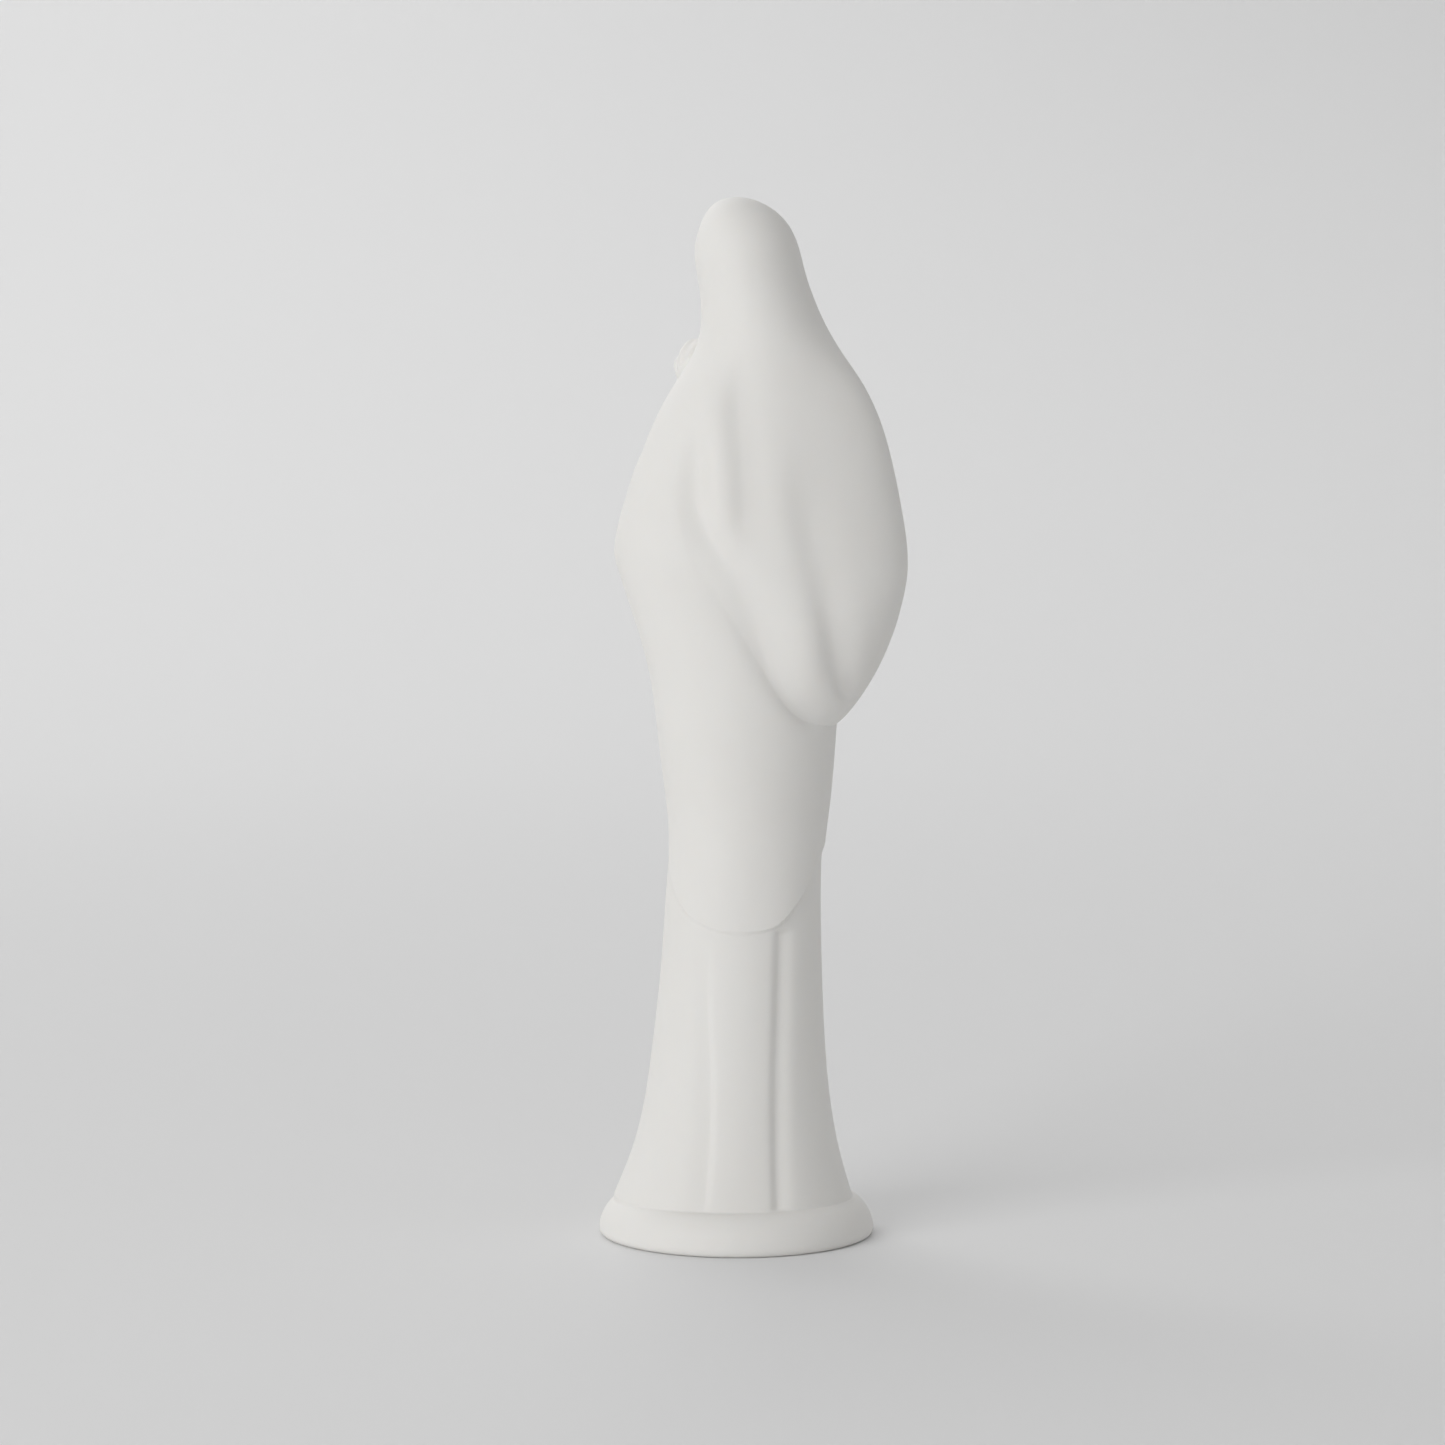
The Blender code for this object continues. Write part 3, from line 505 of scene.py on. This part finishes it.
# Palm, four fingers and thumb
def handLines(wrist, knuckles, tips, spread, thumb, radius):
    wrist, knuckles, tips, spread = (np.asarray(v, float) for v in (wrist, knuckles, tips, spread))
    shape = statue["fingers"]
    atWrist, atKnuckles = (size * radius for size in shape["palm"])
    atRoot, atMiddle, atTip = (size * radius for size in shape["finger"])
    bend = (0, *(size * radius for size in shape["bend"]))
    lines = []
    for k, length in enumerate(shape["lengths"]):
        side = spread * (k - 1.5) * radius / shape["usual"]
        palm = wrist + side * shape["wristSpread"]
        root = knuckles + side
        tip = root + (tips - knuckles) * length - side * shape["tipSpread"]
        middle = (root + tip) / 2 + bend
        lines.append(((*palm, atWrist), (*root, atKnuckles)))
        lines.append(((*root, atRoot), (*middle, atMiddle), (*tip, atTip)))
    outward = spread / np.linalg.norm(spread) * radius
    root = wrist + (knuckles - wrist) * shape["thumbRoot"] + outward
    places = (root, (root + thumb) / 2, thumb)
    lines.append(tuple((*place, size * radius) for place, size in zip(places, shape["thumb"])))
    return lines


allHands = [handLines(*hand) for hand in statue["hands"].values()]


def turned(side, up, angle):
    cos, sin = math.cos(angle), math.sin(angle)
    return side * cos - up * sin, up * cos + side * sin


# A head's own left, front and up, once it is turned, bowed and tilted
def headAxes(head):
    yaw, pitch, roll = np.radians((head["yaw"], head["pitch"], head["roll"]))
    left = np.array((math.cos(yaw), math.sin(yaw), 0))
    front = np.array((math.sin(yaw), -math.cos(yaw), 0))
    up = np.array((0, 0, 1.0))
    front, up = turned(front, up, pitch)
    left, up = turned(left, up, roll)
    return np.stack([left, front, up], axis=1)


# Hair: a cap over the skull, open round an oval face, combed into strands
def hairDistance(both, hair):
    wide, low, tall = hair["oval"]
    level = np.hypot(both[:, 0] / wide, (both[:, 2] - low) / tall)
    angle = np.arctan2(both[:, 0], both[:, 2] - low)
    along, across = hair["strands"]
    wander, waves = statue["hair"]["wave"]
    comb = np.cos(along * (level + wander * np.sin(waves * angle)) + across * angle)
    comb = comb * smoothStep((level - hair["combedFrom"]) / statue["hair"]["combFade"])
    parting = hair["parting"] * np.exp(-((both[:, 0] / statue["hair"]["partingWidth"]) ** 2))
    cap = ball(both, *hair["cap"]) + hair["groove"] * comb + parting
    bare = np.minimum((1 - level) * wide, both[:, 1] - hair["behind"])
    return -fused(-cap, -bare, hair["edge"])


# A head: skull and cheeks, eye sockets, the rest of the face, and the hair.
# Forms beside its middle are mirrored, and so is a line that starts left of it
def headDistance(p, head):
    q = (p - np.asarray(head["centre"], float)) @ headAxes(head)
    both = q.copy()
    both[:, 0] = np.abs(q[:, 0])
    total = ball(both, *head["skull"][0][:2])
    for middle, radii, fillet in head["skull"][1:]:
        total = fused(total, ball(both, middle, radii), fillet)
    middle, radii, fillet = head["socket"]
    total = -fused(-total, ball(both, middle, radii), fillet)
    for middle, radii, fillet in head["details"]:
        total = fused(total, ball(both, middle, radii), fillet)
    for line, fillet in head["ridges"]:
        total = fused(total, limb(both if line[0][0] > 0 else q, line), fillet)
    for line, depth, width in head["creases"]:
        off = limb(both if line[0][0] > 0 else q, [(*point, 0) for point in line])
        total = total + depth * np.exp(-((off / width) ** 2))
    return fused(total, hairDistance(both, head["hair"]), statue["hair"]["fillet"])


# How far each point is outside the statue's surface, or inside it where negative
def statueDistance(p):
    total = fused(bodyDistance(p), footDistance(p), statue["footFillet"])
    for line, fillet in statue["limbs"].values():
        total = join(total, p, line, fillet, lambda q, line=line: limb(q, line))
    back, length, low, high = statue["chest"]
    chest = (p[:, 1] < back) & (p[:, 2] > low) & (p[:, 2] < high)
    deepening = smoothStep((back - p[chest, 1]) / length)
    total[chest] += creases(p[chest], statue["dressCreases"]) * deepening
    child = list(statue["child"].values())
    points = [point for line, _ in child for point in line]
    total = join(total, p, points, statue["childFillet"],
                 lambda q: limbs(q, child) + creases(q, statue["childCreases"]))
    for lines in allHands:
        points = [point for line in lines for point in line]
        hand = [(line, statue["fingers"]["fillet"]) for line in lines]
        total = join(total, p, points, statue["handFillet"], lambda q, hand=hand: limbs(q, hand))
    for head in statue["heads"]:
        tallest = head["skull"][0][1][2]
        line = ((*head["centre"], tallest + statue["headMargin"]),)
        total = join(total, p, line, head["fillet"], lambda q, head=head: headDistance(q, head))
    return -fused(-total, p[:, 2], statue["footEdge"] / share)


def slopeAt(points, off):
    nudge = statue["nudge"]
    slopes = [(statueDistance(points + nudge * axis) - off) / nudge for axis in np.eye(3)]
    return np.stack(slopes, axis=1)


# Moves points onto the statue's surface
def settle(points):
    for _ in range(statue["settleRounds"]):
        off = statueDistance(points)
        slope = slopeAt(points, off)
        move = slope * (off / np.maximum((slope**2).sum(1), statue["leastSlope"]))[:, None]
        length = np.linalg.norm(move, axis=1, keepdims=True)
        points = points - move * np.minimum(1, statue["longestMove"] / np.maximum(length, tiny))
    return points


# Distances at the corners of a grid: all of them coarsely, and those near the surface one by one
def gridDistances(low, high):
    grid, block = statue["grid"] / share, statue["block"]
    coarse = [np.arange(a, b + grid * block, grid * block) for a, b in zip(low, high)]
    places = np.stack(np.meshgrid(*coarse, indexing="ij"), axis=-1)
    rough = statueDistance(places.reshape(-1, 3)).reshape(places.shape[:3])
    nearest = [np.round(np.arange((len(line) - 1) * block + 1) / block).astype(int)
               for line in coarse]
    distances = rough[np.ix_(*nearest)]
    close = np.abs(distances) < grid * block * statue["blockReach"]
    distances[close] = statueDistance(low + grid * np.argwhere(close))
    return distances, grid


# The skin of a solid: a point in each cell of the grid that the surface crosses,
# and a four-sided face round each grid edge that it crosses
def skinOf(low, high):
    distances, grid = gridDistances(low, high)
    cells, crossings = [], []
    steps = np.eye(3, dtype=int)
    for axis in range(3):
        along, one, other = steps[axis], steps[(axis + 1) % 3], steps[(axis + 2) % 3]
        size = distances.shape[axis]
        start, end = (distances.take(range(k, size - 1 + k), axis) for k in (0, 1))
        edges = (start < 0) != (end < 0)
        corner, a, b = np.argwhere(edges), start[edges], end[edges]
        ring = np.stack([corner, corner - one, corner - one - other, corner - other], axis=1)
        ring[a > 0] = ring[a > 0, ::-1]
        cells.append(ring.reshape(-1, 3))
        crossings.append(np.repeat(corner + (a / (a - b))[:, None] * along, 4, axis=0))
    cells, crossings = np.vstack(cells), np.vstack(crossings)
    cells = np.ravel_multi_index(cells.T, distances.shape)
    index = np.unique(cells, return_inverse=True)[1].ravel()
    points = np.stack([np.bincount(index, column) for column in crossings.T], axis=1)
    return low + grid * points / np.bincount(index)[:, None], index.reshape(-1, 4)


def pointsOf(mesh):
    points = np.empty(len(mesh.vertices) * 3)
    mesh.vertices.foreach_get("co", points)
    return points.reshape(-1, 3) / share


def settleMesh(mesh):
    points = settle(pointsOf(mesh))
    points[:, 2] = np.maximum(points[:, 2], 0)
    mesh.vertices.foreach_set("co", (points * share).ravel())
    mesh.update()


# Splits the faces near a place into finer ones
def refine(mesh, middle, reach):
    points = pointsOf(mesh)
    near = np.linalg.norm(points - np.asarray(middle, float), axis=1) < reach
    work = bmesh.new()
    work.from_mesh(mesh)
    work.verts.ensure_lookup_table()
    edges = [edge for edge in work.edges if near[edge.verts[0].index] and near[edge.verts[1].index]]
    bmesh.ops.subdivide_edges(work, edges=edges, cuts=1, use_grid_fill=True)
    work.to_mesh(mesh)
    work.free()


# Takes faces away where the surface is plain, down to a number of triangles
def thin(piece, triangles):
    work = bmesh.new()
    work.from_mesh(piece.data)
    bmesh.ops.triangulate(work, faces=work.faces)
    work.to_mesh(piece.data)
    work.free()
    decimate = piece.modifiers.new("thin", "DECIMATE")
    decimate.ratio = min(1, triangles / len(piece.data.polygons))
    graph = bpy.context.evaluated_depsgraph_get()
    piece.data = bpy.data.meshes.new_from_object(piece.evaluated_get(graph))
    piece.modifiers.clear()


def makeStatue():
    points, faces = skinOf(np.array(statue["boxLow"]), np.array(statue["boxHigh"]))
    mesh = bpy.data.meshes.new("statue")
    mesh.from_pydata((points * share).tolist(), [], faces.tolist())
    piece = bpy.data.objects.new("bisqueStatue", mesh)
    bpy.context.scene.collection.objects.link(piece)
    print("skin made,", len(faces), "faces")
    for middle, reach in statue["finer"]:
        refine(mesh, middle, reach)
    settleMesh(mesh)
    print("details refined,", len(mesh.polygons), "faces")
    thin(piece, statue["triangles"])
    settleMesh(piece.data)
    piece.data.shade_smooth()
    points = pointsOf(piece.data)
    normals = slopeAt(points, statueDistance(points))
    normals /= np.linalg.norm(normals, axis=1, keepdims=True)
    piece.data.normals_split_custom_set_from_vertices(normals.tolist())
    print("statue thinned,", len(piece.data.polygons), "triangles")
    return piece


# sRGB hex to linear
def linear(hexCode):
    channels = [int(hexCode[i:i + 2], 16) / 255 for i in (1, 3, 5)]
    return [c / 12.92 if c <= 0.04045 else ((c + 0.055) / 1.055) ** 2.4 for c in channels] + [1]


# Adds a node with its settings, and sets its inputs, by name or by number,
# to values or to other nodes' outputs
def node(tree, kind, settings, inputs):
    made = tree.nodes.new(kind)
    for name, value in settings.items():
        setattr(made, name, value)
    for name, value in inputs.items():
        if isinstance(value, bpy.types.NodeSocket):
            tree.links.new(value, made.inputs[name])
        else:
            made.inputs[name].default_value = value
    return made


bisque = {
    "colour": "#EEEDEA",      # warm white unglazed porcelain
    "shade": "#E8E6E2",       # its slightly creamier patches from the firing
    "patch": 0.035,           # metres, size of those patches
    "patchDetail": 3.0,
    "grain": 0.00028,         # metres, a fired slip's grain, coarser than the real 0.05 mm to show
    "grainDepth": 0.000012,   # metres
    "grainStrength": 0.6,
    "grainDetail": 4.0,
    "finish": {
        "Roughness": 0.62,
        "IOR": 1.52,
        "Specular IOR Level": 0.35,
        "Subsurface Weight": 0.08,
        "Subsurface Radius": (1.0, 0.8, 0.6),
        "Subsurface Scale": 0.0015,    # metres
    },
}


# Bisque: fired once and left unglazed, so it scatters light softly with no gloss
def bisquePorcelain():
    material = bpy.data.materials.new("slipCastBisquePorcelain")
    material.use_nodes = True
    tree = material.node_tree
    shader = tree.nodes["Principled BSDF"]
    place = node(tree, "ShaderNodeTexCoord", {}, {}).outputs["Object"]
    patches = node(tree, "ShaderNodeTexNoise", {},
                   {"Vector": place, "Scale": 1 / bisque["patch"], "Detail": bisque["patchDetail"]})
    # inputs 6 and 7 of a colour mix are its two colours, and output 2 is the mixed one
    tone = node(tree, "ShaderNodeMix", {"data_type": "RGBA"},
                {0: patches.outputs[0], 6: linear(bisque["colour"]), 7: linear(bisque["shade"])})
    grain = node(tree, "ShaderNodeTexNoise", {},
                 {"Vector": place, "Scale": 1 / bisque["grain"], "Detail": bisque["grainDetail"]})
    bump = node(tree, "ShaderNodeBump", {},
                {"Strength": bisque["grainStrength"], "Distance": bisque["grainDepth"],
                 "Height": grain.outputs[0]})
    tree.links.new(tone.outputs[2], shader.inputs["Base Color"])
    tree.links.new(bump.outputs[0], shader.inputs["Normal"])
    for name, value in bisque["finish"].items():
        shader.inputs[name].default_value = value
    return material


figure = makeStatue()
figure.data.materials.append(bisquePorcelain())
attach(figure, "root")
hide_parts("virgin_and_child")
print("statue made")

studio = {
    "floor": "#E9E9E9",
    # the wall's colour is darker than the floor's: painted shade on the backdrop higher up
    "wall": "#DFDFDF",
    "gradeHeight": 0.6,       # metres over which the floor's tone turns to the wall's
    "floorRadius": 3.0,       # metres
    "flat": 0.5,              # metres, radius of the first flat ring
    "sweep": 1.9,             # metres, radius of the curve from the floor up to the wall
    "sweepSteps": 32,
    "wallHeight": 2.6,        # metres
    "turnSteps": 96,
    "merge": 0.0001,          # metres, how near points are to become one
    "sky": 0.46,
    "lights": {               # place and target in metres, size in metres, power in watts
        "keyLight": ((1.35, 1.45, 0.7), (0, 0, 0.14), 1.4, 21.3),
        "fillLight": ((0.7, -1.9, 1.6), (0, 0, 0.14), 2.0, 19.0),
        "backdropWash": ((-0.6, 0.2, 2.2), (-0.9, -3.0, 0.8), 1.2, 2.2),
    },
    "cameraPlace": (0.00375, 1.46974, 0.29368),
    "cameraPitch": 6.003,     # degrees down
    "fieldOfView": 15.0,      # degrees
    "sensor": 36,             # millimetres
    "nearest": 0.01,          # metres, the nearest that the camera sees
}


# Matte paper, a little darker towards the top: painted shade on the backdrop's upper part
def backdropPaper():
    material = bpy.data.materials.new("backdropPaperWithPaintedShade")
    material.use_nodes = True
    tree = material.node_tree
    shader = tree.nodes["Principled BSDF"]
    place = node(tree, "ShaderNodeTexCoord", {}, {}).outputs["Object"]
    height = node(tree, "ShaderNodeSeparateXYZ", {}, {"Vector": place}).outputs["Z"]
    rise = node(tree, "ShaderNodeMapRange", {"interpolation_type": "SMOOTHSTEP"},
                {"Value": height, "From Min": 0.0, "From Max": studio["gradeHeight"]})
    # turns the floor's colour into the wall's darker one higher up: painted shade
    grade = node(tree, "ShaderNodeMix", {"data_type": "RGBA"},
                 {0: rise.outputs["Result"], 6: linear(studio["floor"]), 7: linear(studio["wall"])})
    tree.links.new(grade.outputs[2], shader.inputs["Base Color"])
    shader.inputs["Roughness"].default_value = 1.0
    shader.inputs["Specular IOR Level"].default_value = 0.0
    return material


# A wide round bowl, so that the floor rises into the background on every side
def studioFloor():
    radius, sweep, steps = studio["floorRadius"], studio["sweep"], studio["sweepSteps"]
    profile = [(0.0, 0, 0.0), (studio["flat"], 0, 0.0)]
    for i in range(steps + 1):
        angle = i / steps * math.pi / 2
        profile.append((radius - sweep * (1 - math.sin(angle)), 0, sweep * (1 - math.cos(angle))))
    profile.append((radius, 0, studio["wallHeight"]))
    edges = [(i, i + 1) for i in range(len(profile) - 1)]
    mesh = bpy.data.meshes.new("studioFloor")
    mesh.from_pydata(profile, edges, [])
    floor = bpy.data.objects.new("studioFloor", mesh)
    bpy.context.scene.collection.objects.link(floor)
    turn = floor.modifiers.new("turn", "SCREW")
    turn.axis = "Z"
    turn.steps = turn.render_steps = studio["turnSteps"]
    turn.use_merge_vertices = True
    turn.merge_threshold = studio["merge"]
    turn.use_smooth_shade = True
    floor.data.materials.append(backdropPaper())
    return floor


def softLight(name, place, target, size, power):
    lamp = bpy.data.lights.new(name, "AREA")
    lamp.size = size
    lamp.energy = power
    light = bpy.data.objects.new(name, lamp)
    bpy.context.scene.collection.objects.link(light)
    light.location = place
    aim = Vector(target) - Vector(place)
    light.rotation_euler = aim.to_track_quat("-Z", "Y").to_euler()


studioFloor()
for name, light in studio["lights"].items():
    softLight(name, *light)
world = bpy.data.worlds.new("studio")
world.use_nodes = True
sky = world.node_tree.nodes["Background"]
sky.inputs["Color"].default_value = (1, 1, 1, 1)
sky.inputs["Strength"].default_value = studio["sky"]
bpy.context.scene.world = world
bpy.context.scene.view_settings.view_transform = "Standard"
print("studio lit")

lens = bpy.data.cameras.new("camera")
lens.sensor_width = studio["sensor"]
lens.lens = studio["sensor"] / 2 / math.tan(math.radians(studio["fieldOfView"] / 2))
lens.clip_start = studio["nearest"]
camera = bpy.data.objects.new("camera", lens)
bpy.context.scene.collection.objects.link(camera)
camera.location = studio["cameraPlace"]
camera.rotation_euler = (math.radians(90 - studio["cameraPitch"]), 0, math.pi)
bpy.context.scene.camera = camera
print("camera placed")
